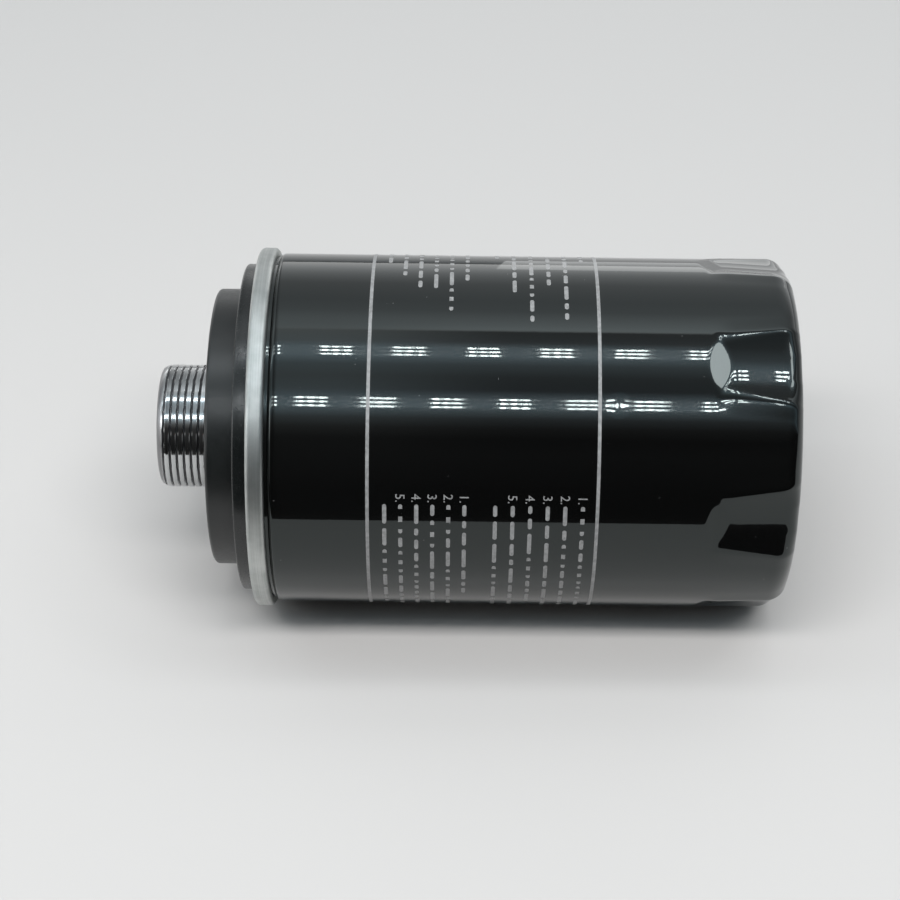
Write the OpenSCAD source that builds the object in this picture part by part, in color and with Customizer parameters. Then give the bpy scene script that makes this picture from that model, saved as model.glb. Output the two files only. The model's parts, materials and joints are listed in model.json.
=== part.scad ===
// Spin-on engine oil filter with a male threaded nipple, lying on its side.
// X runs along the filter's axis, from the nipple (-X) to the closed end (+X), and +Z is up.
// The origin is the centre of the gasket's sealing face, on the thread's axis.

/* [Can] */
// Distance from the gasket's sealing face to the can's closed end
filter_length = 123; // [116:1:140]
// Outside diameter of the drawn can
can_d = 76; // [74:0.5:82]
// Sheet thickness of the can
can_wall = 0.7; // [0.5:0.05:0.8]
// Bare neck between the rolled seam and the can's shoulder
neck_gap = 0.6; // [0.3:0.1:1.2]
// Radius of the shoulder behind the seam
shoulder_r = 1.2; // [1:0.1:1.6]
// Radius of the corner at the closed end
end_corner_r = 4.4; // [3:0.2:6]
// Diameter of the stiffening recess in the closed end
end_recess_d = 48; // [44:1:54]
// Depth of the stiffening recess
end_recess_depth = 1.2; // [0.6:0.1:2]

/* [Wrench pockets] */
// Number of pockets pressed in round the closed end
pocket_count = 7; // [5:1:8]
// Turn of the first pocket from the top, towards -Y
pocket_turn = 28.3; // [0:0.1:51]
// Depth of a pocket at its centre line
pocket_depth = 1.9; // [1.2:0.1:2.2]
// Radius of a pocket's hollow floor, across the can
pocket_floor_r = 36; // [30:1:60]
// Radius that rounds a pocket's two long edges
pocket_edge_r = 3.5; // [2:0.1:5]
// Distance from the closed end to where a pocket starts
pocket_length = 20; // [17:0.1:23]
// Length of the ramp from the can's surface down to a pocket's floor
pocket_ramp = 7.4; // [3:0.1:9]

/* [Rolled seam and lid] */
// Height of the gasket's sealing face above the front of the seam
seal_height = 9.2; // [8:0.1:11]
// Height that the seam stands out from the can's side
seam_stand = 1.15; // [1:0.05:1.6]
// Length of the rolled seam along the axis
seam_height = 3.7; // [3.4:0.1:4.4]
// Radius of the seam's edges
seam_edge_r = 0.9; // [0.5:0.05:1.2]
// Sheet thickness of the lid
lid_wall = 0.5; // [0.4:0.05:0.55]
// Depth of the lid's gasket channel below the front of the seam
channel_depth = 3.2; // [2.8:0.1:3.4]
// Radius of the bend from the seam down to the channel's floor
channel_bend_r = 0.3; // [0.1:0.05:0.4]
// Height of the lid's inner lip, which locates the gasket
lid_lip = 2; // [1.2:0.1:2.6]

/* [Gasket] */
// Gap between the gasket's flange and the wall of its channel
flange_gap = 0.33; // [0.1:0.01:1]
// Step from the flange in to the sealing collar, on the radius
collar_step = 5.5; // [4:0.1:7]
// Width of the sealing collar, on the radius
collar_width = 4.9; // [3.5:0.1:6]
// Length of the collar in front of the flange
collar_length = 6.2; // [5:0.1:7.5]
// Radius of the collar's edges
collar_edge_r = 0.8; // [0.3:0.1:1.2]
// Radius of the flange's outer edge
flange_edge_r = 1.2; // [0.5:0.1:1.6]

/* [Nipple] */
// Crest diameter of the outside thread
thread_d = 26.8; // [24:0.1:27.2]
// Length of the nipple in front of the sealing face
nipple_reach = 12.2; // [9:0.1:16]
// Length of the thread behind the tip
thread_length = 15; // [12:0.5:17]
// Depth of the cone that leads the thread in, on the radius
thread_chamfer = 1; // [0.6:0.1:1.4]
// Length of that cone along the axis
chamfer_length = 1.7; // [0.6:0.1:2.5]
// Depth of the relief groove behind the thread
relief_depth = 1.1; // [0.8:0.1:1.3]
// Diameter of the clean-oil outlet
outlet_d = 17; // [15:0.1:17.4]
// Diameter of the bore that holds the outlet valve
valve_bore_d = 20.4; // [19.6:0.1:20.8]
// Diameter of the nipple's tail inside the can
tail_d = 24; // [23.2:0.1:24.4]
// Length of the tail behind the tapping plate
tail_length = 11.8; // [10.8:0.1:13]
// Diameter of the nipple's shoulder on the plate
nipple_flange_d = 32; // [30:0.1:32.6]
// Thickness of that shoulder
nipple_flange_t = 2.5; // [2:0.1:3.5]
// Diameter of the rim swaged over behind the plate
swage_d = 26.4; // [25.4:0.1:27]
// Thickness of the swaged rim
swage_t = 0.8; // [0.5:0.1:0.9]

/* [Tapping plate] */
// Thickness of the tapping plate
plate_t = 3; // [2.5:0.1:4]
// Number of dirty-oil inlet holes
inlet_count = 8; // [6:1:9]
// Diameter of an inlet hole
inlet_d = 6.4; // [5:0.1:6.8]

/* [Anti-drain valve] */
// Outside diameter of the valve's rubber hub
valve_hub_d = 29; // [28:0.1:30]
// Length of the hub along the axis
hub_length = 5.6; // [5:0.1:7]
// Distance from the plate to the skirt's root on the hub
skirt_rise = 3.4; // [3:0.1:4]
// Thickness of the valve's skirt
skirt_t = 1.2; // [0.8:0.1:1.5]
// Width of the ring on which the skirt seals
skirt_land = 1.8; // [1.2:0.1:2.2]

/* [Filter element] */
// Gap between the element's end caps and the can's wall, where dirty oil flows
element_gap = 3.3; // [2:0.1:7]
// Number of pleats
pleat_count = 50; // [36:1:52]
// Thickness of the media
media_t = 0.7; // [0.5:0.05:0.75]
// Gap between the front end cap's collar and the perforated centre tube
tube_gap = 1.65; // [0.8:0.05:3]
// Sheet thickness of the centre tube
tube_wall = 0.6; // [0.4:0.05:0.8]
// Diameter of a hole in the centre tube
perforation_d = 5; // [3:0.1:6]
// Holes in one ring of the centre tube
perforations_round = 8; // [6:2:10]
// Rings of holes along the centre tube
perforation_rings = 7; // [4:1:8]
// Sheet thickness of the end caps
cap_wall = 0.5; // [0.4:0.05:0.6]
// Height of the end caps' outer rims
cap_rim = 3.4; // [2.6:0.1:5]
// Thickness of the adhesive between the media and an end cap
adhesive_t = 1.2; // [0.8:0.1:2]
// Height of the collar turned in round the front end cap's hole
cap_collar = 3.2; // [2.4:0.1:4]
// Free space between the element and the can's end recess
spring_space = 20.7; // [18.5:0.1:24]

/* [Bypass valve] */
// Diameter of the bypass opening in the rear end cap
bypass_d = 13; // [10:0.1:13.4]
// Diameter of the bypass poppet
poppet_d = 17.2; // [16.4:0.1:17.6]
// Thickness of the poppet's plate
poppet_t = 1; // [0.8:0.1:1.4]
// Thickness of the poppet's rubber seal
poppet_seal_t = 1.2; // [0.8:0.1:1.6]
// Diameter of the poppet's guide stem
stem_d = 4; // [3:0.1:4.4]
// Outside diameter of the cage round the poppet
cage_d = 23; // [21:0.1:23.6]
// Sheet thickness of the cage
cage_wall = 0.6; // [0.5:0.05:0.7]
// Length of the cage along the axis
cage_length = 19.8; // [18:0.1:22]
// Closed length of the cage in front of its windows and behind them
cage_band = 3.4; // [2.5:0.1:5]
// Gap between the poppet's boss and the edge of the opening
boss_gap = 2; // [1:0.1:3]
// How far the bypass poppet opens
bypass_travel = 4; // [2.5:0.1:4.5]
// Wire of the bypass spring
bypass_wire = 1.4; // [1.1:0.05:1.5]
// Mean diameter of the bypass spring
bypass_spring_d = 13; // [11:0.1:14]

/* [Outlet valve] */
// Diameter of the opening through the outlet valve's seat
outlet_seat_d = 13; // [11:0.1:13.4]
// Length of the seat ring
outlet_seat_l = 3; // [2.2:0.1:3.6]
// Diameter of the outlet valve's disc
disc_d = 16; // [15.2:0.1:16.4]
// Thickness of the disc
disc_t = 1.6; // [1.2:0.1:2]
// Length of the outlet spring while the valve is shut
outlet_spring_l = 16; // [12:0.5:17]
// Wire of the outlet spring
outlet_wire = 0.8; // [0.6:0.05:0.8]

/* [Support spring] */
// Wire of the spring that holds the element against its seal
support_wire = 2.2; // [1.6:0.1:2.4]
// Mean diameter of the spring on the end cap
support_small_d = 27; // [24:0.5:29]
// Mean diameter of the spring in the can's recess
support_large_d = 37; // [31:0.5:38]

/* [Clearances] */
// Gap between the rolled layers of the seam
seam_gap = 0.08; // [0.04:0.01:0.09]
// Gap round a piece that sits in its place
seat_gap = 0.25; // [0.1:0.05:0.35]
// Gap round a pressed piece
press_gap = 0.03; // [0.01:0.01:0.05]
// Running clearance of a guided part, on the radius
run_gap = 0.08; // [0.03:0.01:0.1]

/* [Hidden] */
$fn = 96;
// Length by which a cutting shape runs past what it cuts
past = 1;

// Rolled seam, from its outer face inwards
can_r = can_d / 2;
seam_r = can_r + seam_stand;
hook_out = seam_r - lid_wall - seam_gap;
hook_in = hook_out - can_wall;
lid_hook_out = hook_in - seam_gap;
lid_hook_in = lid_hook_out - lid_wall;
neck_out = lid_hook_in - seam_gap;
neck_in = neck_out - can_wall;
chuck_out = neck_in - seam_gap;
chuck_in = chuck_out - lid_wall;

// Rolled seam, along the axis
seam_x = seal_height;
seam_end = seam_x + seam_height;
hook_x = seam_x + lid_wall + seam_gap;
hook_back = hook_x + can_wall;
hook_end = seam_end - lid_wall - seam_gap;
lid_hook_x = hook_back + seam_gap;
shoulder_x = seam_end + neck_gap;

// Lid, gasket and plate
plate_x = seam_x + channel_depth;
plate_end = plate_x + plate_t;
channel_x = plate_x - lid_wall;
lip_x = channel_x - lid_lip;
bend_x = channel_x - channel_bend_r;
bend_r = chuck_in - channel_bend_r;
gasket_flange_r = chuck_in - flange_gap;
collar_r = gasket_flange_r - collar_step;
gasket_bore_r = collar_r - collar_width;
lip_out = gasket_bore_r - seat_gap;
lip_in = lip_out - lid_wall;
plate_r = neck_in - seat_gap;
flange_r = nipple_flange_d / 2;
inlet_ring_r = (flange_r + lip_in) / 2;

// Nipple
thread_r = thread_d / 2;
tail_r = tail_d / 2;
tip_x = -nipple_reach;
thread_end = tip_x + thread_length;
relief_w = 2;
flange_x = plate_x - nipple_flange_t;
tail_end = plate_end + tail_length;
swage_end = plate_end + swage_t;
outlet_r = outlet_d / 2;
valve_bore_r = valve_bore_d / 2;
mouth_chamfer = 0.6;

// Outlet valve, behind a step in the nipple's bore
seat_end = tail_end - mouth_chamfer;
seat_x = seat_end - outlet_seat_l;
disc_r = disc_d / 2;
disc_x = seat_x - disc_t;
outlet_step_x = disc_x - outlet_spring_l;
guide_count = 4;
guide_w = 2.4;
outlet_spring_r = valve_bore_r - outlet_wire / 2 - 2 * seat_gap;

// Anti-drain valve
hub_in = tail_r + seat_gap;
hub_out = valve_hub_d / 2;
hub_x = swage_end + seat_gap;
hub_end = hub_x + hub_length;
skirt_r = inlet_ring_r + inlet_d / 2 + skirt_land + 2 * seat_gap;
skirt_root_x = plate_end + skirt_rise;
skirt_lip_t = 1.6;

// Front end cap and its seal
cap_x = hub_end + 1.4;
cap_in = hub_out + 3 * seat_gap;
cap_collar_end = cap_x + cap_wall + cap_collar;
cap_r = can_r - can_wall - element_gap;
media_r = cap_r - cap_wall - 2 * seat_gap;
seal_flange_r = cap_in + 1.8;

// Element between its caps
can_floor_x = filter_length - end_recess_depth - can_wall;
rear_x = can_floor_x - spring_space;
rear_in = rear_x - cap_wall;
front_in = cap_x + cap_wall;
media_x = front_in + adhesive_t;
media_end = rear_in - adhesive_t;
tube_in = cap_in + cap_wall + tube_gap;
tube_r = tube_in + tube_wall;
media_in = tube_r + 2 * seat_gap;

// Bypass valve, hung in front of the rear end cap
bypass_r = bypass_d / 2;
poppet_r = poppet_d / 2;
stem_r = stem_d / 2;
cage_r = cage_d / 2;
cage_in = cage_r - cage_wall;
cage_x = rear_in - cage_length;
cage_floor = cage_x + cage_wall;
cage_flange_r = tube_in - 2 * seat_gap;
seal_front = rear_in - poppet_seal_t;
poppet_x = seal_front - poppet_t;
boss_r = bypass_r - boss_gap;
stem_x = cage_x - bypass_travel / 2;

// Wrench pocket, in the plane across the can
floor_c = can_r - pocket_depth + pocket_floor_r;
// The circle that rounds an edge stands this far out of the can, so that it crosses the side
edge_lift = 0.02;
edge_c = can_r - pocket_edge_r + edge_lift;
edge_z = (edge_c * edge_c - pow(pocket_floor_r + pocket_edge_r, 2) + floor_c * floor_c) / (2 * floor_c);
edge_y = sqrt(edge_c * edge_c - edge_z * edge_z);

// Turns a half section, drawn as (radius, place along X), about the filter's axis
module turn() {
    rotate([0, 90, 0]) rotate_extrude(convexity = 8) children();
}

// Sweeps a section drawn across the filter, as (Y, Z), from x0 to x1
module along(x0, x1) {
    translate([x0, 0, 0]) rotate([90, 0, 90]) linear_extrude(x1 - x0, convexity = 8) children();
}

// Round bar on the axis, or parallel to it
module bar(r, x0, x1) {
    translate([x0, 0, 0]) rotate([0, 90, 0]) cylinder(r = r, h = x1 - x0);
}

// Rectangle between two radii and two places along X
module band(r0, r1, x0, x1) {
    translate([r0, x0]) square([r1 - r0, x1 - x0]);
}

// The same rectangle with corners of radius c
module round_band(r0, r1, x0, x1, c) {
    band(r0 + c, r1 - c, x0, x1);
    band(r0, r1, x0 + c, x1 - c);
    for (r = [r0 + c, r1 - c], x = [x0 + c, x1 - c]) translate([r, x]) circle(c);
}

// The same rectangle with only its outer corners rounded: front by c0, back by c1, or left square
module outer_round_band(r0, r1, x0, x1, c0, c1) {
    band(r0, r1, x0 + c0, x1 - c1);
    if (c0 > 0) {
        band(r0, r1 - c0, x0, x0 + c0);
        translate([r1 - c0, x0 + c0]) circle(c0);
    }
    if (c1 > 0) {
        band(r0, r1 - c1, x1 - c1, x1);
        translate([r1 - c1, x1 - c1]) circle(c1);
    }
}

// That rectangle again, with its inner front corner rounded as well, by c0
module seam_band(r0, r1, x0, x1, c0, c1) {
    difference() {
        outer_round_band(r0, r1, x0, x1, c0, c1);
        band(r0 - past, r0 + c0, x0 - past, x0 + c0);
    }
    translate([r0 + c0, x0 + c0]) circle(c0);
}

// One pocket's tool across the can: its floor and its two rounded edges, grown by inset
module pocket_section(inset) {
    translate([0, floor_c]) circle(pocket_floor_r + inset);
    for (side = [-1, 1]) difference() {
        polygon([[side * edge_y, edge_z],
            [side * edge_y, edge_z] * 2 * can_r / (can_r - pocket_edge_r) - [side * edge_y, edge_z],
            [side * edge_y * (1 - pocket_edge_r * 2 / (pocket_floor_r + pocket_edge_r)),
             edge_z + (floor_c - edge_z) * pocket_edge_r * 2 / (pocket_floor_r + pocket_edge_r)]]);
        translate([side * edge_y, edge_z]) circle(pocket_edge_r - inset);
    }
}

// The tool's side view: a ramp down to the floor, then straight out past the closed end
module pocket_ramp_side(inset) {
    slope = pocket_depth / pocket_ramp;
    shift = inset * sqrt(1 + 1 / (slope * slope));
    x0 = filter_length - pocket_length - shift;
    drop = 3 * pocket_depth;
    polygon([[x0 - past / slope, can_r + past],
        [x0 + drop / slope, can_r - drop],
        [filter_length + past, can_r - drop],
        [filter_length + past, can_r + past]]);
}

// All the pockets' tools
module wrench_pockets(inset) {
    for (i = [0:pocket_count - 1]) rotate([pocket_turn - i * 360 / pocket_count, 0, 0]) intersection() {
        along(filter_length - pocket_length - 3 * pocket_ramp, filter_length + past) pocket_section(inset);
        rotate([90, 0, 0]) linear_extrude(can_d, center = true) pocket_ramp_side(inset);
    }
}

// The can's half section, filled to the axis and set in from the outer skin by inset
module can_body(inset) {
    outer_round_band(0, can_r - inset, shoulder_x + inset, filter_length - inset,
        shoulder_r - inset, end_corner_r - inset);
}

// The recess pressed into the closed end, with a sloping wall
module end_recess(inset) {
    foot = end_recess_d / 2 + inset * tan(22.5);
    floor_x = filter_length - inset - end_recess_depth;
    polygon([[0, floor_x], [foot - end_recess_depth, floor_x],
        [foot + past, filter_length - inset + past], [0, filter_length - inset + past]]);
}

module can() {
    color([0.05, 0.05, 0.055]) difference() {
        turn() {
            difference() {
                can_body(0);
                end_recess(0);
            }
            band(0, neck_out, hook_back, shoulder_x + shoulder_r);
            seam_band(neck_in, hook_out, hook_x, hook_back, can_wall / 2, 0);
            band(hook_in, hook_out, hook_x + can_wall / 2, hook_end);
        }
        difference() {
            turn() difference() {
                union() {
                    can_body(can_wall);
                    band(0, neck_in, hook_x - past, shoulder_x + shoulder_r);
                }
                end_recess(can_wall);
            }
            wrench_pockets(can_wall);
        }
        wrench_pockets(0);
    }
}

// Drawn lid: gasket channel, chuck wall and the outer layers of the double seam
module seaming_lid() {
    color([0.72, 0.74, 0.76]) turn() {
        difference() {
            seam_band(chuck_in, seam_r, seam_x, seam_end, seam_edge_r, seam_edge_r);
            seam_band(chuck_out, seam_r - lid_wall, seam_x + lid_wall, seam_end - lid_wall,
                max(seam_edge_r - lid_wall, 0.01), max(seam_edge_r - lid_wall, 0.01));
            band(chuck_out, lid_hook_in, seam_x + lid_wall, seam_end + past);
            band(0, chuck_out, plate_x, seam_end + past);
        }
        band(lid_hook_in, lid_hook_out, lid_hook_x, seam_end - lid_wall);
        band(lip_in, chuck_out, channel_x, plate_x);
        difference() {
            band(bend_r, chuck_in + lid_wall / 2, bend_x, channel_x + lid_wall / 2);
            translate([bend_r, bend_x]) circle(channel_bend_r);
        }
        band(lip_in, lip_out, lip_x + lid_wall / 2, plate_x);
        translate([lip_in + lid_wall / 2, lip_x + lid_wall / 2]) circle(lid_wall / 2);
    }
}

// Moulded rubber ring of L section: a flange held in the lid and a collar that seals
module gasket() {
    color([0.09, 0.09, 0.09]) turn() {
        outer_round_band(gasket_bore_r, gasket_flange_r, collar_length, channel_x,
            flange_edge_r, flange_edge_r / 2);
        round_band(gasket_bore_r, collar_r, 0, channel_x - flange_edge_r, collar_edge_r);
    }
}

// Hollow steel nipple, machined in one piece and swaged into the tapping plate
module threaded_nipple() {
    color([0.75, 0.75, 0.74]) turn() difference() {
        union() {
            polygon([[0, tip_x], [thread_r - thread_chamfer, tip_x],
                [thread_r, tip_x + chamfer_length], [thread_r, thread_end],
                [thread_r - relief_depth, thread_end + relief_depth / 2],
                [thread_r - relief_depth, thread_end + relief_w - relief_depth / 2],
                [thread_r, thread_end + relief_w], [thread_r, flange_x + past], [0, flange_x + past]]);
            outer_round_band(0, flange_r, flange_x, plate_x, 0.4, 0.2);
            band(0, tail_r, plate_x - past, tail_end);
            outer_round_band(0, swage_d / 2, plate_end, swage_end, 0.1, swage_t / 2);
        }
        polygon([[0, tip_x - past], [outlet_r + mouth_chamfer + past, tip_x - past],
            [outlet_r, tip_x + mouth_chamfer], [outlet_r, outlet_step_x],
            [valve_bore_r, outlet_step_x], [valve_bore_r, tail_end - mouth_chamfer],
            [valve_bore_r + mouth_chamfer, tail_end], [valve_bore_r + mouth_chamfer, tail_end + past],
            [0, tail_end + past]]);
    }
}

// Thick pressed plate that carries the nipple, with the dirty-oil inlets round it
module tapping_plate() {
    color([0.55, 0.56, 0.57]) difference() {
        turn() difference() {
            outer_round_band(0, plate_r, plate_x, plate_end, 0.3, 0.8);
            band(0, tail_r + press_gap, plate_x - past, plate_end + past);
        }
        for (i = [0:inlet_count - 1]) rotate([(i + 0.5) * 360 / inlet_count, 0, 0])
            translate([0, 0, inlet_ring_r]) bar(inlet_d / 2, plate_x - past, plate_end + past);
    }
}

// Ring pressed into the nipple's tail, on whose front the outlet disc closes
module outlet_valve_seat() {
    color([0.7, 0.7, 0.68]) turn() difference() {
        outer_round_band(0, valve_bore_r - press_gap, seat_x, seat_end, 0.2, 0.4);
        band(0, outlet_seat_d / 2, seat_x - past, seat_end + past);
    }
}

// Moulded disc with guide lugs that keep it central while oil passes between them
module outlet_valve_disc() {
    color([0.82, 0.78, 0.66]) {
        bar(disc_r, disc_x, seat_x);
        for (i = [0:guide_count - 1]) rotate([i * 360 / guide_count, 0, 0])
            intersection() {
                translate([disc_x, -guide_w / 2, 0]) cube([disc_t, guide_w, valve_bore_r]);
                bar(valve_bore_r - run_gap, disc_x, seat_x);
            }
    }
}

// Place along X of a compression spring's wire after n turns, with one closed turn at each end
function wire_x(n, turns, wire, length) =
    let (closed = wire * 1.05, pitch = (length - wire - 2 * closed) / (turns - 2))
    n < 1 ? n * closed
    : n > turns - 1 ? length - wire - (turns - n) * closed
    : closed + (n - 1) * pitch;

// Compression spring between x0 and x1, whose mean radius runs from r0 to r1
module coil_spring(r0, r1, x0, x1, wire, turns, rings_a_turn = 18, sides = 8) {
    rings = turns * rings_a_turn;
    length = x1 - x0;
    points = [for (i = [0:rings], j = [0:sides - 1])
        let (n = i / rings_a_turn, a = 360 * n, b = 360 * j / sides,
            r = r0 + (r1 - r0) * i / rings + wire / 2 * cos(b),
            x = x0 + wire / 2 + wire_x(n, turns, wire, length) + wire / 2 * sin(b))
        [x, r * sin(a), r * cos(a)]];
    polyhedron(points = points, faces = concat(
        [[for (j = [0:sides - 1]) j]],
        [for (i = [0:rings - 1], j = [0:sides - 1])
            let (k = i * sides + j, m = i * sides + (j + 1) % sides) [k, k + sides, m + sides]],
        [for (i = [0:rings - 1], j = [0:sides - 1])
            let (k = i * sides + j, m = i * sides + (j + 1) % sides) [k, m + sides, m]],
        [[for (j = [sides - 1:-1:0]) rings * sides + j]]), convexity = 12);
}

module outlet_valve_spring() {
    color([0.6, 0.6, 0.58]) coil_spring(outlet_spring_r, outlet_spring_r,
        outlet_step_x, disc_x, outlet_wire, 6);
}

// Rubber umbrella: its skirt rests on the plate outside the inlets and lifts to let oil in
module anti_drain_valve() {
    color([0.72, 0.3, 0.12]) turn() {
        round_band(hub_in, hub_out, hub_x, hub_end, 0.4);
        polygon([[hub_in + 1, skirt_root_x], [hub_out, skirt_root_x],
            [skirt_r - skirt_land, plate_end + skirt_lip_t - skirt_t / 2],
            [skirt_r - skirt_land, plate_end], [skirt_r, plate_end],
            [skirt_r, plate_end + skirt_lip_t],
            [hub_out, skirt_root_x + skirt_t], [hub_in + 1, skirt_root_x + skirt_t]]);
    }
}

// Grommet in the front end cap, which closes the element onto the nipple's tail
module element_seal() {
    color([0.12, 0.12, 0.12]) turn() {
        band(hub_in, cap_in - press_gap, hub_end, cap_collar_end);
        outer_round_band(hub_in, seal_flange_r, hub_end, cap_x, 0.3, 0.3);
    }
}

module front_end_cap() {
    color([0.78, 0.79, 0.8]) turn() {
        outer_round_band(cap_in, cap_r, cap_x, front_in, cap_wall / 2, 0);
        band(cap_r - cap_wall, cap_r, cap_x + cap_wall / 2, cap_x + cap_rim);
        band(cap_in, cap_in + cap_wall, cap_x, cap_collar_end);
    }
}

module front_adhesive() {
    color([0.75, 0.62, 0.35]) turn()
        band(tube_r + press_gap, cap_r - cap_wall - press_gap, front_in, media_x);
}

// Points of a closed zigzag with flat folds: outer folds at r1 and inner folds at r0
function zigzag(r0, r1, inner_w, outer_w) = [for (i = [0:pleat_count - 1])
    let (a = 360 * i / pleat_count, b = a + 180 / pleat_count,
        da = asin(outer_w / 2 / r1), db = asin(inner_w / 2 / r0))
    for (p = [[r1, a - da], [r1, a + da], [r0, b - db], [r0, b + db]])
        [p[0] * sin(p[1]), p[0] * cos(p[1])]];

// Pleated paper ring
module filter_media() {
    fold_gap = 0.5;
    wide = fold_gap + 2 * media_t;
    inner_wide = min(wide, 2 * PI * media_in / pleat_count - 2 * press_gap);
    color([0.85, 0.76, 0.5]) along(media_x, media_end) difference() {
        polygon(zigzag(media_in + media_t, media_r, inner_wide - 2 * media_t, wide));
        polygon(zigzag(media_in, media_r - media_t, inner_wide, fold_gap));
    }
}

// Steel strip folded over the fold where the media's two ends meet
module media_seam_clip() {
    clip_t = 0.35;
    depth = 4.5;
    slot_w = 0.5 + 2 * media_t + 2 * seat_gap + 0.15;
    top = media_r + seat_gap - press_gap;
    color([0.7, 0.72, 0.74]) along(media_x, media_end) difference() {
        translate([-slot_w / 2 - clip_t, top - depth]) square([slot_w + 2 * clip_t, depth]);
        translate([-slot_w / 2, top - depth - past]) square([slot_w, depth + past - clip_t / 2]);
    }
}

// Perforated steel tube that stops the media collapsing inwards
module centre_tube() {
    span = media_end - media_x;
    ring_pitch = span / perforation_rings;
    color([0.7, 0.71, 0.72]) difference() {
        turn() band(tube_in, tube_r, front_in, rear_in);
        for (k = [0:perforation_rings - 1], i = [0:perforations_round - 1])
            rotate([(i + (k % 2) / 2) * 360 / perforations_round, 0, 0])
                translate([media_x + (k + 0.5) * ring_pitch, 0, tube_in - past])
                    cylinder(d = perforation_d, h = tube_wall + 2 * past);
    }
}

module rear_adhesive() {
    color([0.75, 0.62, 0.35]) turn()
        band(tube_r + press_gap, cap_r - cap_wall - press_gap, media_end, rear_in);
}

module rear_end_cap() {
    color([0.78, 0.79, 0.8]) turn() {
        outer_round_band(bypass_r, cap_r, rear_in, rear_x, 0, cap_wall / 2);
        band(cap_r - cap_wall, cap_r, rear_x - cap_rim, rear_x - cap_wall / 2);
    }
}

// Pressed cage with windows, which guides the poppet and holds its spring
module bypass_cage() {
    window_w = cage_r * 0.6;
    color([0.66, 0.67, 0.69]) difference() {
        turn() {
            band(stem_r + run_gap, cage_r, cage_x, cage_floor);
            band(cage_in, cage_r, cage_x, rear_in);
            band(cage_in, cage_flange_r, rear_in - cage_wall, rear_in);
        }
        for (i = [0:3]) rotate([i * 90 + 45, 0, 0])
            translate([cage_x + cage_band, -window_w / 2, 0])
                cube([cage_length - 2 * cage_band, window_w, cage_r + past]);
        for (i = [0:5]) rotate([i * 60, 0, 0])
            translate([0, 0, (stem_r + bypass_spring_d / 2 - bypass_wire / 2) / 2 + run_gap])
                bar(0.8, cage_x - past, cage_floor + past);
    }
}

// Poppet turned with its guide stem and with the boss that holds the seal
module bypass_poppet() {
    color([0.68, 0.69, 0.7]) turn() {
        outer_round_band(0, poppet_r, poppet_x, seal_front, 0.3, 0.3);
        band(0, boss_r, poppet_x, rear_in);
        outer_round_band(0, stem_r, stem_x, poppet_x + past / 2, 0.5, 0);
    }
}

module bypass_seal() {
    color([0.1, 0.1, 0.1]) turn() difference() {
        outer_round_band(0, poppet_r, seal_front, rear_in, 0.2, 0.3);
        band(0, boss_r + press_gap, seal_front - past, rear_in + past);
    }
}

module bypass_spring() {
    color([0.6, 0.6, 0.58]) coil_spring(bypass_spring_d / 2, bypass_spring_d / 2,
        cage_floor, poppet_x, bypass_wire, 6);
}

module support_spring() {
    color([0.45, 0.45, 0.45]) coil_spring(support_small_d / 2, support_large_d / 2,
        rear_x, can_floor_x, support_wire, 5);
}

can();
seaming_lid();
gasket();
threaded_nipple();
tapping_plate();
outlet_valve_seat();
outlet_valve_disc();
outlet_valve_spring();
anti_drain_valve();
element_seal();
front_end_cap();
front_adhesive();
filter_media();
media_seam_clip();
centre_tube();
rear_adhesive();
rear_end_cap();
bypass_cage();
bypass_poppet();
bypass_seal();
bypass_spring();
support_spring();
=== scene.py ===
"""Looks of the spin-on oil filter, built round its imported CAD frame.

+X runs along the filter's axis from the nipple to the closed end, +Z is up and the origin is the centre of
the gasket's sealing face. Sizes are in millimetres, apart from the lights' own, which are in metres, and
finish_mesh makes the meshes in metres. A turn is an angle about the axis, from the top towards -Y, where
the camera is.
"""

import json
import math
import random

import bpy
import bmesh
import numpy as np
from mathutils import Matrix, Vector

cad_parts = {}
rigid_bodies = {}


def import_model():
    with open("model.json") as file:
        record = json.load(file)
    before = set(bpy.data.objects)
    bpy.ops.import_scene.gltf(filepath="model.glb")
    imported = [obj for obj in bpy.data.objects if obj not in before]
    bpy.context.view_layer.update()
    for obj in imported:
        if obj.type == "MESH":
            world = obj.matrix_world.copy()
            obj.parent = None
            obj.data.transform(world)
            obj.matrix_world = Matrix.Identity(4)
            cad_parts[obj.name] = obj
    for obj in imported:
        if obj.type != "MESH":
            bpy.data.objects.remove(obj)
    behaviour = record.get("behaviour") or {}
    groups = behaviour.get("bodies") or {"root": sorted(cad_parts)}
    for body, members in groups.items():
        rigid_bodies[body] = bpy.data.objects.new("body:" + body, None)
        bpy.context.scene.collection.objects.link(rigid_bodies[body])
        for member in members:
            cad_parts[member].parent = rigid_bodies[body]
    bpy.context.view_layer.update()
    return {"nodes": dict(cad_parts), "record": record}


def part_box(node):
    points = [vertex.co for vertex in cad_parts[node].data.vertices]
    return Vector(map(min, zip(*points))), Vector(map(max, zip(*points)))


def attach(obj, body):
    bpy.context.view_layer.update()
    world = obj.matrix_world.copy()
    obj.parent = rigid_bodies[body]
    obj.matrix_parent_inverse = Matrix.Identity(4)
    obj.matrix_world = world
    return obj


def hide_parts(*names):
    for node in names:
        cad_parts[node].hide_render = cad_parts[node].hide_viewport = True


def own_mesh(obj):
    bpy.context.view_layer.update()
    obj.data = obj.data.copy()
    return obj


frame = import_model()

MM = 0.001
# Points nearer than this, in metres, are welded
WELD = 1e-7


def end_of(node, side, axis):
    """One side of a CAD node's box, in millimetres: side is 0 for the low corner and 1 for the high one."""
    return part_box(node)[side][axis] / MM


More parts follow.
